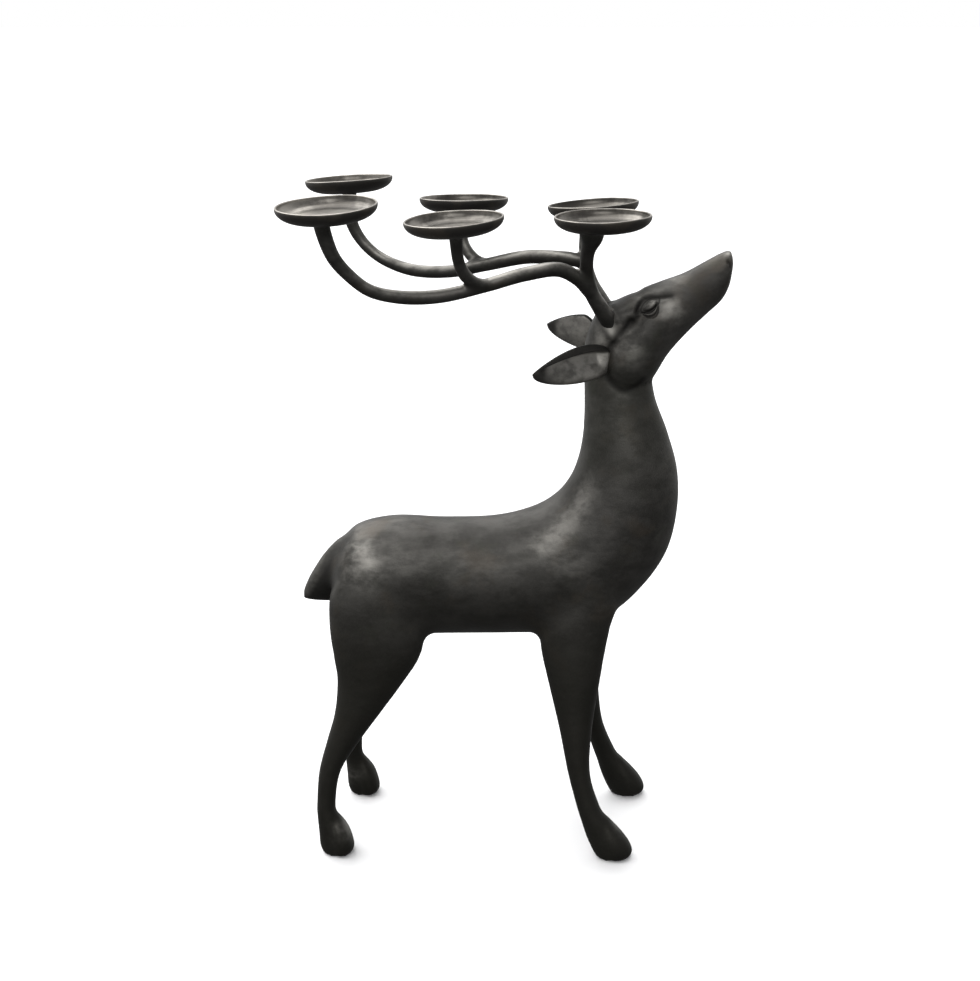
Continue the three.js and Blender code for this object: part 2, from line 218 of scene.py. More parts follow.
def new_piece(name, shells):
    """A mesh object of closed tubes, one for each grid of points, with a flat face over both ends"""
    points, faces, start = [], [], 0
    for shell in shells:
        rings, sides = shell.shape[:2]
        first = np.arange(start, start + sides)
        faces += (tube_faces(rings, sides) + start).tolist()
        faces += [first.tolist(), (first + (rings - 1) * sides).tolist()]
        points.append(shell.reshape(-1, 3))
        start += rings * sides
    mesh = bpy.data.meshes.new(name)
    mesh.from_pydata(np.vstack(points) * MM, [], faces)
    work = bmesh.new()
    work.from_mesh(mesh)
    bmesh.ops.recalc_face_normals(work, faces=work.faces)
    work.to_mesh(mesh)
    work.free()
    mesh.shade_smooth()
    piece = bpy.data.objects.new(name, mesh)
    bpy.context.scene.collection.objects.link(piece)
    return piece


def one_skin(piece, voxel):
    """Applies a voxel Remesh with cubes of that size"""
    remesh = piece.modifiers.new("one_skin", "REMESH")
    remesh.mode = "VOXEL"
    remesh.voxel_size = voxel * MM
    remesh.use_smooth_shade = True
    graph = bpy.context.evaluated_depsgraph_get()
    skinned = bpy.data.meshes.new_from_object(piece.evaluated_get(graph))
    piece.modifiers.clear()
    piece.data = skinned


BODY_VOXEL = 2.8
body = new_piece("body", body_shells)
one_skin(body, BODY_VOXEL)
print("body skin:", len(body.data.polygons), "faces")

# %% [markdown]
# On the casting, haunch and shoulder melt into the trunk, but the skin still has a crease round each of
# them. Every crease is a hollow, and a hollow can be measured: where the average of a point's wider
# surroundings lies outside the surface, the surface is hollow there. Softening only the hollows fills
# them like a fillet and leaves the outline alone, which a Smooth modifier would shrink. The corners
# under the belly are tight on the casting, so the filling fades out there. The root of the tail runs
# into the rump with no edge at all, so it gets the most rounds.

# %% Soften the joins of limbs and trunk
# Rounds of spreading that find a hollow, and the depth in millimetres from which it counts in full
HOLLOW_ROUNDS, FULL_HOLLOW = 8, 0.35
# Rounds and gain that take in the neighbours of a hollow
NEAR_ROUNDS, NEAR_GAIN = 24, 2.5
LIMB_ROUNDS, RUMP_ROUNDS = 160, 260


def places_of(mesh):
    """The points of a mesh in millimetres, as rows of x, y and z"""
    flat = np.empty(len(mesh.vertices) * 3, np.float32)
    mesh.vertices.foreach_get("co", flat)
    return flat.reshape(-1, 3).astype(float) / MM


def set_places(mesh, places):
    """Puts points in millimetres back into a mesh"""
    mesh.vertices.foreach_set("co", (places * MM).astype(np.float32).ravel())
    mesh.update()


def normals_of(mesh):
    """The outward direction at each point"""
    flat = np.empty(len(mesh.vertices) * 3, np.float32)
    mesh.vertex_normals.foreach_get("vector", flat)
    return flat.reshape(-1, 3).astype(float)


def links_of(mesh):
    """The two point numbers of each edge"""
    flat = np.empty(len(mesh.edges) * 2, np.int32)
    mesh.edges.foreach_get("vertices", flat)
    return flat.reshape(-1, 2)


def spread(values, links, rounds, weight=0.5):
    """Repeats values + weight * (mean of the values at the linked points - values)"""
    count = len(values)
    a, b = links.T
    joined = np.bincount(links.ravel(), minlength=count)[:, None]
    for _ in range(rounds):
        total = [np.bincount(a, v[b], count) + np.bincount(b, v[a], count) for v in values.T]
        values = values + weight * (np.stack(total, axis=1) / joined - values)
    return values


def hollowness(mesh, rounds):
    """How far the spread-out surface lies outside the surface, in millimetres: above 0 in a hollow"""
    places = places_of(mesh)
    return np.einsum("ij,ij->i", spread(places, links_of(mesh), rounds) - places, normals_of(mesh))


def fill_hollows(mesh, where, rounds):
    """Spreads the points that lie in hollows, and their neighbours, where the mask allows it"""
    links = links_of(mesh)
    hollow = np.clip(hollowness(mesh, HOLLOW_ROUNDS) / FULL_HOLLOW, 0, 1)[:, None]
    near = np.clip(NEAR_GAIN * spread(hollow, links, NEAR_ROUNDS), 0, 1)
    set_places(mesh, spread(places_of(mesh), links, rounds, 0.5 * near * where[:, None]))


x, _, z = places_of(body.data).T
limbs = smoothstep(z, 198, 240) * (1 - smoothstep(z, 420, 450)) * smoothstep(x, -172, -160)
rump = smoothstep(z, 266, 284) * (1 - smoothstep(x, -150, -135))
fill_hollows(body.data, limbs, LIMB_ROUNDS)
fill_hollows(body.data, rump, RUMP_ROUNDS)
print("deepest hollow left, mm:", hollowness(body.data, HOLLOW_ROUNDS).max().round(2))

# %% [markdown]
# The head carries the finest modelling: almond eyes over swollen lids, a brow fold that runs toward the
# nose, a groove from the eye down behind the jaw, nostrils, and a low collar where each antler enters
# the skull. The even skin is too coarse for them, so its squares are split in four on the head and the
# hooves, and twice more round the eyes. Each feature is then a height over the skin, written as a
# formula of the place in side view, as a chaser would draw it on the flank before cutting.

# %% Split the squares where the modelling is fine
def refine(mesh, chosen):
    """Halves every edge between two chosen points, which turns each square there into four"""
    work = bmesh.new()
    work.from_mesh(mesh)
    work.edges.ensure_lookup_table()
    picked = np.flatnonzero(chosen[links_of(mesh)].all(axis=1))
    bmesh.ops.subdivide_edges(work, edges=[work.edges[i] for i in picked], cuts=1, use_grid_fill=True)
    work.to_mesh(mesh)
    work.free()
    mesh.shade_smooth()


# Middle of the eye in side view, x and z; how far from the middle plane the flanks of the head begin;
# the heights of throat, nape and hooves
EYE = (125.5, 546.4)
FLANK = 8
THROAT, NAPE, HOOF_TOP = 464, 505, 46


def near_eye(mesh, ahead, reach):
    """True for the points of both flanks that lie within reach of a place ahead of the eye's middle"""
    x, y, z = places_of(mesh).T
    return (np.hypot(x - EYE[0] - ahead, z - EYE[1]) < reach) & (np.abs(y) > FLANK)


x, _, z = places_of(body.data).T
head = (z > THROAT) & (x > np.where(z > NAPE, 70, 82))
refine(body.data, head | (z < HOOF_TOP))
refine(body.data, near_eye(body.data, 4, 21))
refine(body.data, near_eye(body.data, 0, 12))
places = places_of(body.data)
fine = smoothstep(places[:, 2], THROAT, THROAT + 6) * smoothstep(places[:, 0], 80, 86)
set_places(body.data, spread(places, links_of(body.data), 3, 0.5 * fine[:, None]))
print("body skin:", len(body.data.polygons), "faces")

# %% Eyes, brow folds, cheek grooves and nostrils
# Places in side view, x and z, along each line; the cheekbone is one place
BROW_FOLD = [(114.5, 538.5), (116, 546), (120, 551), (126, 553.6), (134, 554.6), (146, 556.2), (156, 560)]
CHEEK_GROOVE = [(112, 536.5), (102, 524), (92.5, 512), (87, 502)]
JAW_EDGE = [(87, 502), (85.5, 493), (88.5, 481.5), (96, 473), (105, 469), (114, 471.5), (122, 479)]
CHEEKBONE = (148, 544)
NOSTRIL = [(198.5, 586.5), (200.5, 584), (200.5, 581)]
STEM_FOOT = [(96, 525), (90.5, 533), (81, 548)]
# Slant of the eye in degrees and half its length; shift of the eyeball in it and its half sizes
EYE_SLANT, EYE_HALF = 34, 9.6
BALL_SHIFT, BALL_HALF = (2, 0.6), (7.4, 2.8)
HEAD_ROUNDS = 60


def along_line(x, z, line):
    """Distance in side view from each point to a smooth line, and the share of the line at that place"""
    points = smooth_line(line, 80)
    gap = np.hypot(x[:, None] - points[:, 0], z[:, None] - points[:, 1])
    return gap.min(axis=1), gap.argmin(axis=1) / (len(points) - 1)


def eye_places(x, z):
    """Distances along and across the slanted eye, and the size of the eyeball's ellipse through a point"""
    turn = math.radians(EYE_SLANT)
    along = (x - EYE[0]) * math.cos(turn) + (z - EYE[1]) * math.sin(turn)
    across = (z - EYE[1]) * math.cos(turn) - (x - EYE[0]) * math.sin(turn)
    (a, b), (long, tall) = BALL_SHIFT, BALL_HALF
    return along, across, np.hypot((along - a) / long, (across - b) / tall)


def eye_height(x, z):
    """An egg-shaped ball, and under it a gap, a lower lid and a crease: bells across three arcs that hang
    between the corners like the parabola 1 - (distance along / half length)^2"""
    along, across, ball = eye_places(x, z)
    arc = np.clip(1 - (along / EYE_HALF) ** 2, 0, 1)
    gap = 1.4 * bump(across, -3.5 * arc, 1)
    lid = 1.4 * bump(across, -6 * arc, 1.2)
    crease = 1.0 * bump(across, -8.8 * arc, 1.3)
    return 2.8 * np.sqrt(np.clip(1 - ball**2, 0, 1)) + smoothstep(arc, 0, 0.3) * (lid - gap - crease)


def head_height(x, y, z):
    """Sum of the head's features, each a bell across its own line or place, on both flanks"""
    brow, share = along_line(x, z, BROW_FOLD)
    socket = np.hypot((x - EYE[0]) / 15, (z - EYE[1]) / 10)
    fade = smoothstep(share, 0, 0.1) * (1 - smoothstep(share, 0.62, 1)) * smoothstep(np.abs(y), 9, 16)
    height = eye_height(x, z) - 1.6 * bump(socket, 0, 0.9) - 2.4 * fade * bump(brow, 0, 2.4)
    groove, share = along_line(x, z, CHEEK_GROOVE)
    height -= 3 * bump(groove, 0, 3.6) * smoothstep(share, 0, 0.08)
    jaw, share = along_line(x, z, JAW_EDGE)
    height -= 1.2 * bump(jaw, 0, 3) * (1 - smoothstep(share, 0.7, 1))
    height += 1.6 * bump(np.hypot(x - CHEEKBONE[0], z - CHEEKBONE[1]), 0, 11)
    height -= 1.3 * bump(along_line(x, z, NOSTRIL)[0], 0, 1.3)
    height += 1.5 * bump(along_line(x, z, STEM_FOOT)[0], 7.5, 4.5) * smoothstep(x, 72, 84)
    return height * smoothstep(np.abs(y), 3, 9)


x, _, z = places_of(body.data).T
on_head = (z > THROAT - 2) & (x > 71)
jaw_gap = along_line(x, z, JAW_EDGE)[0]
fill_hollows(body.data, on_head * smoothstep(jaw_gap, 8, 16), HEAD_ROUNDS)
places = places_of(body.data)
relief = np.zeros(len(places))
relief[on_head] = head_height(*places[on_head].T)
relief -= 2.6 * on_head * bump(jaw_gap, 0, 8) * np.clip(hollowness(body.data, 12), 0, 0.7)
set_places(body.data, places + relief[:, None] * normals_of(body.data))
print("relief on the head, mm:", relief.min().round(2), "to", relief.max().round(2))

# %% [markdown]
# The ears are leaves laid back from the head, each on a stalk, hollow on the outer side, with a thick
# upper rim that throws the hollow into shade. A leaf is a flat tube whose height swells and dies away
# along its length. The hollow is cut into the same grid by pulling its outer face in, so rim and hollow
# stay one closed skin. They are kept apart from the body skin, whose squares would blunt the rims.

# %% Ears
EAR_HALF, EAR_THICK, EAR_HOLLOW = 17.5, 6, 8.5
EAR_RINGS, EAR_SIDES = 110, 96
# How high the folded rim starts, as a share of the half height; how pointed the upper half is; least swell
EAR_FLAP, EAR_POINT, EAR_LEAST = 0.58, 1.35, 0.06
# Root and tip of each ear, and the share of its length where the upper edge leaves the stalk
EARS = {
    "right": ((98, -13, 497.5), (18, -70, 494), 0.12),
    "left": ((103, 12, 509), (36, 66, 513), 0.44),
}
ear_share = np.linspace(0.04, 0.999, EAR_RINGS)[:, None]
ear_angle = np.linspace(0, 2 * np.pi, EAR_SIDES, endpoint=False)


def ear_hollow():
    """0 to 1 on the outer face: a ramp from the lower rim up to the flap, then back under the flap, within
    a window along the length"""
    up = np.cos(ear_angle)
    ramp = smoothstep(up, -0.97, 0.4) * (1 - smoothstep(up, EAR_FLAP - 0.1, EAR_FLAP + 0.08))
    window = smoothstep(ear_share, 0.13, 0.24) * (1 - smoothstep(ear_share, 0.84, 0.96))
    return window * ramp * (np.sin(ear_angle) > 0)


def ear_form(root, tip, stalk, side):
    """Grid of length share and angle: half height and thickness times a swell along the length, less the
    hollow on the outer face. The upper half is pointed and low on the stalk, the lower half blunter."""
    along = np.subtract(tip, root)
    out = side * np.cross(along, (0, 0, 1)) / np.hypot(along[0], along[1])
    arch = np.sin(np.pi * ear_share**0.75)
    swell = np.maximum(EAR_LEAST, arch**0.6)
    lower = np.maximum(EAR_LEAST, arch**0.45)
    upper = swell**EAR_POINT * (0.45 + 0.55 * smoothstep(ear_share, stalk - 0.2, stalk + 0.05))
    tall = EAR_HALF * np.where(np.cos(ear_angle) > 0, upper, lower) * np.cos(ear_angle)
    thick = EAR_THICK * swell * np.sin(ear_angle) - EAR_HOLLOW * swell * ear_hollow()
    centre = np.asarray(root) + along * ear_share[:, :, None]
    return centre + tall[:, :, None] * np.array([0, 0, 1]) + thick[:, :, None] * out


ears = [new_piece(f"ear_{name}", [ear_form(*EARS[name], side)]) for name, side in SIDES.items()]
print("ears:", [len(ear.data.polygons) for ear in ears], "faces")

# %% [markdown]
# Each antler is a stem out of the head, a beam that sweeps back from it and a tine in the middle, all
# round bars that flare where they meet a dish. A curve object with a bevel makes such bars, but it
# can't melt them together at the forks. Bars worked out as grids can share one skin, and the hollows
# at the forks are then filled as on the body.

# %% Dishes: where they stand
# Rim centre of each dish, and how far it leans backward and outward in degrees
DISHES = {
    "right": {
        "front": ((79.3, 53, 633.4), 1.7, 1.1),
        "middle": ((-51.2, 90, 635.6), 4.1, 2.1),
        "back": ((-156.7, 115, 650), 2.6, 4.2),
    },
    "left": {
        "front": ((77.8, 53, 632), 4, 1.4),
        "middle": ((-45.4, 90, 633), 0.2, 2),
        "back": ((-159.3, 115, 649), 3.4, 1.3),
    },
}
DISH_RADIUS, DISH_DEPTH = 43.3, 13.8


def dish_place(name, row):
    """Rim centre of a dish on its own side, and the way it faces"""
    (x, y, z), back, out = DISHES[name][row]
    side = SIDES[name]
    axis = np.array([-math.tan(math.radians(back)), side * math.tan(math.radians(out)), 1])
    return np.array([x, side * y, z]), axis / np.linalg.norm(axis)


print("right back dish:", [v.round(3).tolist() for v in dish_place("right", "back")])

# %% Antlers
# Places along each bar: x, distance from the middle plane and z; and how far the end of each bar slides
# forward under its dish
ANTLERS = {
    "right": {
        "front": [(95, 14, 525), (89.5, 17, 533), (79.5, 21.3, 548), (72.3, 23.8, 560.7), (68, 28, 576.6),
                  (67, 33.5, 587.5), (67.2, 41, 598.6)],
        "back": [(71.5, 24.5, 560.5), (60, 31, 573.4), (42.2, 37.5, 583), (11.6, 46.5, 580.5),
                 (-24, 60, 572.6), (-64, 78, 566.3), (-98, 93, 568.2), (-123, 103, 575.7),
                 (-139, 108.6, 588.8), (-152.5, 112.6, 606)],
        "middle": [(-19, 59, 573), (-33, 67, 576), (-42, 74.5, 584.5), (-47.2, 81, 597)],
        "slide": {"front": -10, "middle": 0.7, "back": -5},
    },
    "left": {
        "front": [(97, 14, 525), (92, 17, 533), (83, 21.3, 548), (75.5, 23.8, 560.7), (70.5, 30, 577),
                  (70, 36, 590), (71.5, 44, 603)],
        "back": [(69, 28.5, 579), (60, 31, 581.5), (45.5, 37, 582.3), (15.3, 45.6, 581.7), (-24.3, 60, 572),
                 (-59.2, 76, 563), (-98.7, 93.6, 562), (-129.5, 105, 572.5), (-147.5, 111, 587.8),
                 (-157.6, 114, 606.4)],
        "middle": [(-13.5, 56, 573), (-31.5, 70, 573.7), (-41, 80, 581), (-46.5, 86, 592)],
        "slide": {"front": -6, "middle": -2.5, "back": -0.5},
    },
}
# Radius of each bar at even steps from its start to its dish
BAR_RADII = {
    "front": (9, 8, 7.1, 6.7, 6.3, 6.2, 7.3, 11.8),
    "back": (6.6, 6.6, 6.1, 6.1, 5.5, 7),
    "middle": (4.8, 5.7, 5.2, 6),
}
# Length that stands square under a dish, and how far it goes into the dish
UNDER_DISH, INTO_DISH = 5, 0.2
BAR_RINGS, BAR_SIDES = 260, 48
ANTLER_VOXEL = 1.1
FORK_ROUNDS = 90


def bar(places, radius, rings, sides):
    """A circle carried along a smooth path at even steps, with a radius for each share of its length"""
    path = smooth_line(places, 600, 0.5)
    run = np.concatenate([[0], np.cumsum(np.linalg.norm(np.diff(path, axis=0), axis=1))])
    share = np.linspace(0, 1, rings)
    path = np.stack([np.interp(share * run[-1], run, axis) for axis in path.T], axis=1)
    ahead = np.gradient(path, axis=0)
    ahead /= np.linalg.norm(ahead, axis=1)[:, None]
    up = np.cross(ahead, (0, 1, 0))
    up /= np.linalg.norm(up, axis=1)[:, None]
    across = np.cross(ahead, up)
    angle = np.linspace(0, 2 * np.pi, sides, endpoint=False)[None, :, None]
    ring = up[:, None] * np.cos(angle) + across[:, None] * np.sin(angle)
    return path[:, None] + radius(share)[:, None, None] * ring


def branch(name, row):
    """A bar of the antler up to the underside of its dish: its last places stand square under the dish"""
    side = SIDES[name]
    rim, axis = dish_place(name, row)
    slide = np.array([ANTLERS[name]["slide"][row], 0, 0])
    under = rim + slide - axis * (slide @ axis)
    square = [under - axis * (DISH_DEPTH + UNDER_DISH), under - axis * (DISH_DEPTH - INTO_DISH)]
    places = np.vstack([np.array(ANTLERS[name][row], float) * (1, side, 1), *square])
    radii = BAR_RADII[row]
    steps = smooth_line(np.stack([np.linspace(0, 1, len(radii)), radii], axis=1), 200)

    def radius(share):
        return np.interp(share, *steps.T)

    return bar(places, radius, BAR_RINGS, BAR_SIDES)


antlers = []
for name in SIDES:
    antler = new_piece(f"antler_{name}_bars", [branch(name, row) for row in ("front", "back", "middle")])
    one_skin(antler, ANTLER_VOXEL)
    fill_hollows(antler.data, np.ones(len(antler.data.vertices)), FORK_ROUNDS)
    antlers.append(antler)
print("antlers:", [len(antler.data.polygons) for antler in antlers], "faces")

# %% [markdown]
# The dishes are shallow pans with a flat floor for a candle and a thin rolled rim. A pan is a profile
# turned round its axis, as on a lathe, and Blender's Screw modifier would turn it. Worked out as a grid
# of profile and angle, it can also be a little uneven, as a hand-finished pan is, and it can remember
# which points lie on the inside, where the patina is rubbed away.

# %% Profile of a dish
FLAT_RADIUS, FLOOR_RADIUS, FLOOR_THICK = 21, 30, 4
RIM_THICK, RIM_WALL = 2, 1.6


def bowl_curve(flat, wall, low, high):
    """A quarter ellipse from the edge of the flat, where it is level, out and up to the wall, where it is
    upright: radius and height"""
    angle = np.linspace(0, np.pi / 2, 30)
    return np.stack([flat + (wall - flat) * np.sin(angle), high - (high - low) * np.cos(angle)], axis=1)


def dish_profile():
    """Radius and height below the rim, from the middle of the underside out, over a round rim, and back
    along the inside to the middle of the floor; and the share at which the rim is crossed"""
    floor = FLOOR_THICK - DISH_DEPTH
    angle = np.linspace(0, np.pi, 10)[1:-1]
    half = RIM_THICK / 2
    under = bowl_curve(FLAT_RADIUS, DISH_RADIUS, -DISH_DEPTH, -RIM_WALL)
    rim = np.stack([DISH_RADIUS - half + half * np.cos(angle), half * np.sin(angle) - half], axis=1)
    inside = bowl_curve(FLOOR_RADIUS, DISH_RADIUS - RIM_THICK, floor, -half)[::-1]
    under_floor = np.linspace([0.3, -DISH_DEPTH], under[0], 12)[:-1]
    top_floor = np.linspace(inside[-1], [0.3, floor], 12)[1:]
    profile = np.vstack([under_floor, under, rim, inside, top_floor])
    return profile, (len(under_floor) + len(under) + len(rim) // 2) / (len(profile) - 1)


DISH_PROFILE, RIM_SHARE = dish_profile()
print("dish profile:", len(DISH_PROFILE), "points, rim at", round(RIM_SHARE, 3))

# %% Dishes as turned grids
def dish_form(name, row, sides, seed):
    """Grid of profile share and angle: radius times cosine and sine across the dish's axis and height along
    it, with a slow seeded wave of a few tenths of a millimetre round the rim"""
    rim, axis = dish_place(name, row)
    radius, height = DISH_PROFILE.T[:, :, None]
    angle = np.linspace(0, 2 * np.pi, sides, endpoint=False)
    phase = np.random.default_rng(seed).uniform(0, 2 * np.pi, 3)
    wave = sum(np.sin(k * angle + phase[k - 2]) / k for k in (2, 3, 4))
    side_way = np.cross(axis, (0, 1, 0))
    side_way /= np.linalg.norm(side_way)
    cross_way = np.cross(axis, side_way)
    radius = radius + 0.25 * wave * (radius / DISH_RADIUS) ** 4
    height = height + 0.35 * np.roll(wave, 7) * (radius / DISH_RADIUS) ** 6
    flat = np.cos(angle)[:, None] * side_way + np.sin(angle)[:, None] * cross_way
    return rim + radius[:, :, None] * flat + height[:, :, None] * axis


DISH_SIDES = 120
dishes = {}
for name in SIDES:
    for row in ("front", "middle", "back"):
        node = f"dish_{name}_{row}"
        dishes[node] = new_piece(f"{node}_pan", [dish_form(name, row, DISH_SIDES, len(dishes))])
print("dishes:", {node: len(dish.data.polygons) for node, dish in dishes.items()})

# %% [markdown]
# Wear follows shape: hands and cloths rub the raised places bright and leave the hollows dark. The same
# measure that found the creases finds both, so it is stored on the points as an attribute, which a
# material can read. Painted highlights are added on a few broad places, such as the haunch, the flank,
# the base of the neck, the cheeks and the end of the nose, on the eyeballs and on the upper sides of
# the antlers. Painted shade lies in the lines of the head, round the eyes, on the nose, on the sides of
# the tail, on the undersides of the antlers' bars and toward both of their ends.

# %% Wear, painted highlights and painted shade, stored on the points
# Painted highlights, with a little rub: middle of each place, x, distance from the middle plane and z,
# then its reach and its strength
HIGHLIGHT_AND_RUB_PLACES = [
    # Haunch and rump
    ((-142, 44, 308), 17, 0.8), ((-146, 44, 294), 20, 0.5), ((-160, 34, 322), 16, 0.5),
    # Base of the neck
    ((28, 45, 322), 13, 0.9), ((40, 43, 333), 13, 0.8), ((52, 41, 345), 14, 1.1),
    ((64, 37, 361), 13, 0.9), ((73, 33, 376), 12, 0.6),
    # Flank and shoulder
    ((-110, 47, 306), 26, 0.3), ((-60, 48, 306), 28, 0.3), ((-10, 49, 306), 28, 0.3),
    ((58, 48, 300), 24, 0.45),
    # Cheeks, brow, bridge and end of the nose
    ((147, 27, 541.5), 13, 1.2), ((88, 28, 520), 16, 1.9), ((112, 31, 507), 16, 0.6),
    ((134, 24, 560), 10, 0.8), ((150, 10, 572), 13, 0.6), ((118, 14, 555), 11, 0.6),
    ((201, 5, 590), 5, 1.8),
    # Hooves
    ((-168, 60, 24), 13, 1.4), ((103, 68, 30), 11, 0.5),
]
# Middle of the painted dark reflection on the nose in side view, and the upper line of the tail, under
# which its sides get painted shade: its tip and its rise
NOSE_PAINTED_REFLECTION = (172, 567)
TAIL_TIP, TAIL_RISE = (-204.5, 260), 1.71
# Marks on the eyes, the head and the tail keep this far from the middle plane
MARK_FLANK = 6


def store(mesh, name, values):
    """Keeps one number for each point of a mesh"""
    mesh.attributes.new(name, "FLOAT", "POINT").data.foreach_set("value", values.astype(np.float32))


def rubbed(mesh):
    """Painted highlights with a little rub: bells round the listed places, added up, and a painted
    highlight on the eyeballs, brightest toward the nose
    """
    x, y, z = places_of(mesh).T
    along, _, ball = eye_places(x, z)
    on_eye = (1 - smoothstep(ball, 0.5, 1)) * (np.abs(y) > MARK_FLANK)
    rub = (0.35 + 0.7 * smoothstep(along, -3, 5)) * on_eye
    for (a, b, c), reach, strength in HIGHLIGHT_AND_RUB_PLACES:
        rub += strength * bump(np.sqrt((x - a) ** 2 + (np.abs(y) - b) ** 2 + (z - c) ** 2), 0, reach)
    return rub


def painted_shade(mesh):
    """Painted shade: the largest of several bells across the lines of the head, round the eyes, round the
    antlers' feet and on the nose, and of a ramp down the sides of the tail"""
    x, y, z = places_of(mesh).T
    lines = ((CHEEK_GROOVE, 3.6, 0.95), (JAW_EDGE, 3.4, 0.9), (BROW_FOLD[:-1], 2.9, 0.9))
    shade_paint = [strength * bump(along_line(x, z, line)[0], 0, width) for line, width, strength in lines]
    shade_paint.append(bump(eye_places(x, z)[2], 1.35, 0.22))
    shade_paint.append(0.7 * bump(along_line(x, z, STEM_FOOT)[0], 9.5, 2.8) * (z > 510))
    shade_paint.append(0.4 * bump(np.hypot(x - NOSE_PAINTED_REFLECTION[0], z - NOSE_PAINTED_REFLECTION[1]), 0, 14))
    below = TAIL_TIP[1] + TAIL_RISE * (x - TAIL_TIP[0]) - z
    shade_paint.append(0.75 * smoothstep(below, 9, 18) * smoothstep(-x, 170, 178) * (z > 246))
    return np.max(shade_paint, axis=0) * (np.abs(y) > MARK_FLANK)


def store_wear(mesh, rounds, depth, rub, shade_paint):
    """hollow and ridge: the hollowness over a depth, cut off at 1, raised to the painted shade where that
    is larger; and the rub with its painted highlights
    """
    hollow = hollowness(mesh, rounds) / depth
    both = spread(np.stack([np.clip(hollow, 0, 1), np.clip(-hollow, 0, 1)], axis=1), links_of(mesh), 2)
    store(mesh, "hollow", np.maximum(both[:, 0], shade_paint))
    store(mesh, "ridge", both[:, 1])
    store(mesh, "rub", rub)


store_wear(body.data, 10, 0.5, rubbed(body.data), painted_shade(body.data))
# The upper rim of each ear and its tip are darkened on the same number as the hollows
ear_flap = smoothstep(np.cos(ear_angle), EAR_FLAP - 0.06, EAR_FLAP + 0.1) * (np.sin(ear_angle) > -0.4)
for ear in ears:
    store(ear.data, "hollow", np.maximum(ear_flap, 0.9 * smoothstep(ear_share, 0.78, 0.9)).ravel())
    store(ear.data, "ridge", np.zeros(EAR_RINGS * EAR_SIDES))
    # A painted highlight over the ear, strongest on the outer face toward the root
    store(ear.data, "rub", np.where(np.sin(ear_angle) > 0, 2.6 - 1.8 * ear_share, 1.1).ravel())
for antler in antlers:
    upward = spread(normals_of(antler.data), links_of(antler.data), 6)[:, 2]
    # Painted highlight along the upper sides of the bars, and painted shade along their undersides
    rub = 1.8 * smoothstep(upward, 0.0, 0.75)
    shade_paint = 0.5 * (1 - smoothstep(upward, -0.4, 0.3))
    # Painted shade toward both ends of the bars: up under the dishes and down where the stems enter the
    # head
    high = places_of(antler.data)[:, 2]
    ends = np.maximum(0.55 * smoothstep(high, 582, 602), 0.7 * (1 - smoothstep(high, 530, 552)))
    store_wear(antler.data, 20, 0.8, rub, np.maximum(shade_paint, ends))
profile_share = np.repeat(np.linspace(0, 1, len(DISH_PROFILE)), DISH_SIDES)
for dish in dishes.values():
    store(dish.data, "inside", smoothstep(profile_share, RIM_SHARE - 0.05, RIM_SHARE - 0.025))
    store(dish.data, "turn", np.repeat(DISH_PROFILE[:, 0], DISH_SIDES))
    # Nearness to the front and back of each dish, where its inside gets a painted reflection
    along = places_of(dish.data)[:, 0]
    store(dish.data, "ends", np.abs(along - along.mean()) / DISH_RADIUS)
print("attributes on the body:", [a.name for a in body.data.attributes if a.data_type == "FLOAT"])

# %% [markdown]
# Materials are networks of nodes, and long networks are hard to read when each node is set by hand. A
# small class wraps a socket, so that sums and products of sockets are written as Python expressions and
# any other node comes from one method.

# %% Shader maths as Python expressions
class Wire:
    """An output socket in a node tree; + - and * with numbers or other wires add Math nodes"""

    def __init__(self, tree, socket=None):
        self.tree = tree
        self.socket = socket

    def node(self, kind, settings, sockets, output=0):
        """A new node of that kind: its settings first, then the values or links of its sockets"""
        made = self.tree.nodes.new(kind)
        for name, value in settings.items():
            setattr(made, name, value)
        for name, value in sockets.items():
            if isinstance(value, Wire):
                self.tree.links.new(value.socket, made.inputs[name])
            else:
                made.inputs[name].default_value = value
        return Wire(self.tree, made.outputs[output] if made.outputs else None)

    def maths(self, operation, first, second):
        """A Math node on two wires or numbers"""
        return self.node("ShaderNodeMath", {"operation": operation}, {0: first, 1: second})

    def __add__(self, other):
        return self.maths("ADD", self, other)

    def __sub__(self, other):
        return self.maths("SUBTRACT", self, other)

    def __rsub__(self, other):
        return self.maths("SUBTRACT", other, self)

    def __mul__(self, other):
        return self.maths("MULTIPLY", self, other)

    __radd__ = __add__
    __rmul__ = __mul__

    def step(self, low, high):
        """0 below low, 1 above high, smooth between"""
        return self.node("ShaderNodeMapRange", {"interpolation_type": "SMOOTHSTEP"},
                         {"Value": self, "From Min": low, "From Max": high})

    def tint(self, low, high):
        """The colour low where this wire is 0 and high where it is 1"""
        return self.node("ShaderNodeMix", {"data_type": "RGBA"}, {0: self, 6: low, 7: high}, 2)

    def axis(self, name):
        """The X, Y or Z of a vector"""
        return self.node("ShaderNodeSeparateXYZ", {}, {0: self}, name)


def noise(place, scale, detail=4, roughness=0.55):
    """Even noise round one half, at that many waves to the metre"""
    sockets = {"Vector": place, "Scale": scale, "Detail": detail, "Roughness": roughness}
    return place.node("ShaderNodeTexNoise", {}, sockets)


def bumpy_normal(height, strength, depth, under=None):
    """The normal of bumps of that depth in metres, laid over another normal where one is given"""
    sockets = {"Strength": strength, "Distance": depth, "Height": height}
    if under:
        sockets["Normal"] = under
    return height.node("ShaderNodeBump", {}, sockets, "Normal")


def stored(wire, name):
    """A number kept on the points of the mesh"""
    return wire.node("ShaderNodeAttribute", {"attribute_name": name}, {}, "Fac")


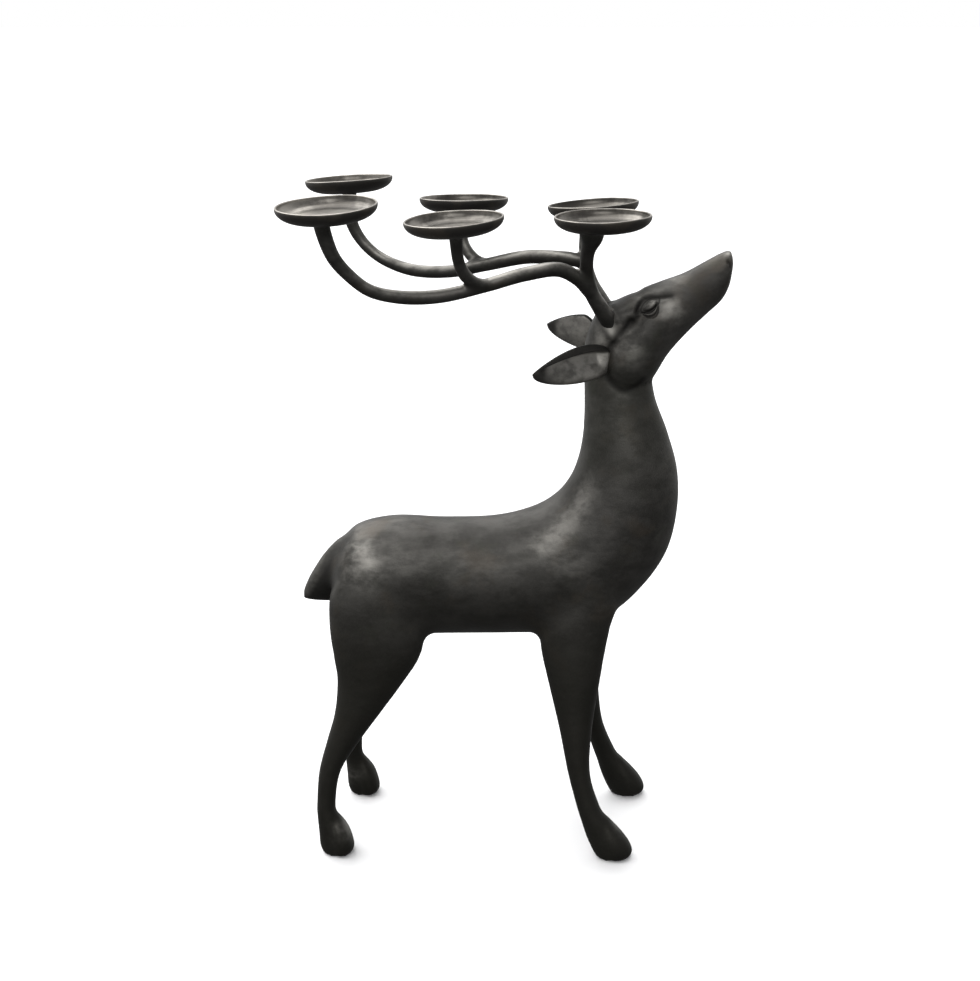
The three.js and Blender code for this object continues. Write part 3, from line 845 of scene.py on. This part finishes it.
def new_material(name):
    """An empty material and a wire to start its nodes from"""
    material = bpy.data.materials.new(name)
    material.use_nodes = True
    material.node_tree.nodes.clear()
    return material, Wire(material.node_tree)


def show_on_surface(wire, sockets):
    """A Principled shader with those sockets as the material's surface"""
    shader = wire.node("ShaderNodeBsdfPrincipled", {}, sockets)
    wire.node("ShaderNodeOutputMaterial", {}, {"Surface": shader})


print("wire methods:", [name for name in vars(Wire) if not name.startswith("_")])

# %% [markdown]
# The body's iron is blackened and waxed: near black in the hollows, warm grey brown on the flanks, with
# olive and rust-brown clouds, faint brush marks along the trunk and paler rubbed places. Painted
# highlights make some places paler still, and painted shade darkens the lines of the head, the sides of
# the tail, the undersides of the antlers and the legs. The neck has an olive cast. Cast iron is never
# quite smooth, so small bumps of two sizes break up its satin gloss.

# %% Blackened iron
# Near black of the hollows and of the painted shade
HOLLOW_AND_SHADE_BLACK = (0.010, 0.0095, 0.0085, 1)
IRON_DARK = (0.030, 0.029, 0.026, 1)
IRON_PALE = (0.072, 0.069, 0.064, 1)
IRON_BROWN = (0.070, 0.058, 0.045, 1)
IRON_OLIVE = (0.046, 0.047, 0.037, 1)
# Rubbed metal, also the colour of the painted highlights
IRON_RUB_AND_HIGHLIGHT = (0.26, 0.25, 0.228, 1)
# Near black for the painted shade on the legs
LEG_PAINTED_SHADE = (0.0175, 0.0168, 0.013, 1)


def blackened_iron(name):
    """Clouds, brush marks, rub and painted highlights, hollows and painted shade, and painted shade on the
    legs, mixed into one colour, and bumps of two sizes
    """
    material, wire = new_material(name)
    place = wire.node("ShaderNodeTexCoord", {}, {}, "Object")
    high = place.axis("Z")
    low = 1 - high.step(0.17, 0.33)
    neck = high.step(0.35, 0.43) * (1 - high.step(0.47, 0.52))
    cloud = noise(place, 17, 5).step(0.34, 0.68)
    brown = noise(place, 31, 4).step(0.52, 0.72)
    olive = noise(place, 43, 3).step(0.55, 0.75)
    speck = noise(place, 190, 4)
    along_trunk = {"Vector": place, "Scale": (0.5, 1, 1), "Rotation": (0, 0.35, 0)}
    brush = noise(wire.node("ShaderNodeMapping", {}, along_trunk), 70, 4, 0.6)
    grain = noise(place, 900, 2)
    hollow = stored(wire, "hollow")
    ridge = stored(wire, "ridge")
    mottle = speck.step(0.36, 0.64)
    # Rubbed ridges, and the stored rub number, which also holds the painted highlights
    rub = stored(wire, "rub") * 0.55 + ridge * (1 - low) * 0.38
    strokes = brush.step(0.34, 0.66)
    rub = rub * (mottle * 0.15 + strokes * 0.6 + cloud * 0.25 + 0.35)
    shade = cloud * 0.45 + mottle * 0.12 + strokes * 0.4 + 0.03
    colour = shade.tint(IRON_DARK, IRON_PALE)
    colour = (brown * 0.5).tint(colour, IRON_BROWN)
    colour = (olive * 0.45 + neck * 0.35).tint(colour, IRON_OLIVE)
    # Painted shade: the legs and the belly darkened from the trunk down
    colour = (low * 0.85).tint(colour, LEG_PAINTED_SHADE)
    colour = rub.step(0.0, 1.0).tint(colour, IRON_RUB_AND_HIGHLIGHT)
    # Near black in the hollows and in the painted shade stored with them
    colour = (hollow * 0.9).tint(colour, HOLLOW_AND_SHADE_BLACK)
    rough = 0.40 + 0.16 * speck + 0.10 * cloud + 0.12 * hollow - 0.08 * rub
    fine = bumpy_normal(grain, 0.25, 0.0004)
    normal = bumpy_normal(speck * 0.6 + brush * 0.6, 0.3, 0.0012, fine)
    show_on_surface(wire, {"Base Color": colour, "Metallic": 0.8, "Roughness": rough, "Normal": normal})
    return material


iron = blackened_iron("blackened_iron")
for piece in [body] + ears + antlers:
    piece.data.materials.append(iron)
print("iron nodes:", len(iron.node_tree.nodes))

# %% [markdown]
# Inside the dishes the black is rubbed back to pale grey metal, with faint rings from turning. The flat
# floor and the lip are paler still, partly from rubbing and partly a painted highlight; the front and back
# of each dish are paler, a painted reflection; and the front dishes are darker than the back ones, a
# painted shade. The underside keeps the black. The stored numbers say which side a point is on, how far
# it is from the middle and how near it is to the front or back.

# %% Rubbed iron of the dishes
PAN_PALE = (0.42, 0.395, 0.355, 1)
PAN_DULL = (0.085, 0.079, 0.070, 1)
PAN_BLACK = (0.042, 0.039, 0.036, 1)
PAN_BROWN = (0.066, 0.058, 0.049, 1)


def rubbed_iron(name):
    """Pale inside and black underside by the stored number, with clouds, specks and turned rings, and
    painted light: a paler floor, lip and ends, and darker front dishes
    """
    material, wire = new_material(name)
    place = wire.node("ShaderNodeTexCoord", {}, {}, "Object")
    inside = stored(wire, "inside")
    turn = stored(wire, "turn")
    # Painted reflection: paler toward the front and back of each dish
    ends = stored(wire, "ends").step(0.2, 0.9)
    turned = {"W": turn * 0.9, "Scale": 1.6, "Detail": 3}
    rings = wire.node("ShaderNodeTexNoise", {"noise_dimensions": "1D"}, turned)
    cloud = noise(place, 34, 5).step(0.36, 0.66)
    speck = noise(place, 230, 4)
    # Paler flat floor and lip, partly rubbed metal and partly painted highlight; darker front dishes, a
    # painted shade
    flat = 1 - turn.step(26, 34)
    lip = turn.step(40.8, 42.2)
    front_painted_shade = place.axis("X").step(-0.16, 0.08)
    pale = cloud * 0.4 + speck * 0.4 + rings * 0.4 + ends * 0.45 + flat * 0.35 + lip * 0.5
    pale = (pale - front_painted_shade * 0.3 - 0.43).step(0, 1)
    black = (cloud * 0.7 + speck * 0.3).step(0.4, 0.9).tint(PAN_BLACK, PAN_BROWN)
    colour = inside.tint(black, pale.tint(PAN_DULL, PAN_PALE))
    rough = 0.5 - 0.2 * inside + 0.14 * speck - 0.08 * rings
    normal = bumpy_normal(rings * 0.5 + speck * 0.5, 0.22, 0.0008)
    show_on_surface(wire, {"Base Color": colour, "Metallic": 0.85, "Roughness": rough, "Normal": normal})
    return material


pan_iron = rubbed_iron("rubbed_iron")
for dish in dishes.values():
    dish.data.materials.append(pan_iron)
print("pan nodes:", len(pan_iron.node_tree.nodes))

# %% [markdown]
# The stag stands on a wide pale floor under two soft lights, as in a product studio: the main one from
# above and a little behind, a weaker one from the front. A Sun lamp with a large angle is such a light:
# it is even everywhere, so the floor stays plain, and its shadows are soft. An area lamp would leave a
# bright pool. The world is what the metal mirrors: white at the horizon, brighter behind the stag than
# in front, dimmer above and dark below. The floor is kept out of the mirroring and throws no light
# back, so that the legs stay dark.

# %% Floor, light and world
# Half the floor's side and its drop below the soles, in metres, and its colour
FLOOR_HALF, FLOOR_DROP = 400.0, 0.0004
FLOOR_PALE = (0.9, 0.9, 0.9, 1)
corners = np.array([(-1, -1), (1, -1), (1, 1), (-1, 1)]) * FLOOR_HALF
floor_mesh = bpy.data.meshes.new("floor")
floor_mesh.from_pydata([(a, b, -FLOOR_DROP) for a, b in corners], [], [(0, 1, 2, 3)])
floor = bpy.data.objects.new("floor", floor_mesh)
bpy.context.scene.collection.objects.link(floor)
floor.visible_diffuse = False
floor.visible_glossy = False
pale, wire = new_material("pale_floor")
show_on_surface(wire, {"Base Color": FLOOR_PALE, "Roughness": 0.9})
floor_mesh.materials.append(pale)

# Name, energy, width and tilt of each light: the tilt is in degrees from straight down, about x and y
LIGHTS = [("soft_overhead", 3.9, 75, (-18, -20)), ("soft_front", 1.1, 40, (52, -8))]
for name, energy, width, tilt in LIGHTS:
    lamp = bpy.data.lights.new(name, "SUN")
    lamp.energy = energy
    lamp.angle = math.radians(width)
    sun = bpy.data.objects.new(name, lamp)
    sun.rotation_euler = (math.radians(tilt[0]), math.radians(tilt[1]), 0)
    bpy.context.scene.collection.objects.link(sun)

# Colours of the world: the horizon behind the stag, on the camera's side and ahead of the stag; the sky
# over the camera and beyond the stag; straight below
WHITE, NEAR_GREY, AHEAD_GREY = (1, 1, 1, 1), (0.47, 0.47, 0.47, 1), (0.28, 0.28, 0.28, 1)
NEAR_SKY, FAR_SKY = (0.35, 0.35, 0.36, 1), (0.72, 0.72, 0.73, 1)
BELOW = (0.19, 0.19, 0.19, 1)
world = bpy.data.worlds.new("studio")
world.use_nodes = True
world.node_tree.nodes.clear()
sky = Wire(world.node_tree)
direction = sky.node("ShaderNodeTexCoord", {}, {}, "Generated")
ahead, away, height = [direction.axis(name) for name in "XYZ"]
behind = (away - 0.6 * ahead).step(-0.5, 0.7)
front = ahead.step(0.1, 0.9).tint(NEAR_GREY, AHEAD_GREY)
horizon = behind.tint(front, WHITE)
upper = away.step(0.0, 0.8).tint(NEAR_SKY, FAR_SKY)
sides = height.step(0.06, 0.16).tint(WHITE, horizon)
above = height.step(0.02, 0.30).tint(sides, upper)
under = height.step(-0.50, -0.04).tint(BELOW, horizon)
glow = height.step(-0.04, -0.02).tint(under, above)
background = sky.node("ShaderNodeBackground", {}, {"Color": glow, "Strength": 1.0})
sky.node("ShaderNodeOutputWorld", {}, {"Surface": background})
bpy.context.scene.world = world
bpy.context.scene.view_settings.view_transform = "Standard"
print("lights:", [light[:2] for light in LIGHTS])

# %% [markdown]
# The camera stands at the height and tilt that bring the outline of the solids onto the outline in the
# photograph: about 1.3 metres from the flank, somewhat above the antlers, looking down.

# %% Camera
# Focal length and longer side of the photo in pixels, the sensor's side in millimetres, and the camera's
# place in metres and tilt in degrees
FOCUS_PIXELS, FRAME_PIXELS = 1437, 981
SENSOR = 36
CAMERA_PLACE, CAMERA_TILT = (-0.020, -1.327, 0.792), 17.94
camera_data = bpy.data.cameras.new("camera")
camera_data.sensor_width = SENSOR
camera_data.lens = SENSOR * FOCUS_PIXELS / FRAME_PIXELS
camera = bpy.data.objects.new("camera", camera_data)
camera.location = CAMERA_PLACE
camera.rotation_euler = (math.radians(90 - CAMERA_TILT), 0, 0)
bpy.context.scene.collection.objects.link(camera)
bpy.context.scene.camera = camera
print("lens:", round(camera_data.lens, 2), "mm")

# %% [markdown]
# Last, each piece is tied to the frame: it rides on the one body of the part and stands for its CAD
# node.

# %% Tie the pieces to the frame
for piece in [body] + ears + antlers:
    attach(piece, "root")
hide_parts("stag_body")
for name, antler in zip(SIDES, antlers):
    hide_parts(f"antler_{name}")
for node, dish in dishes.items():
    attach(dish, "root")
    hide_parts(node)
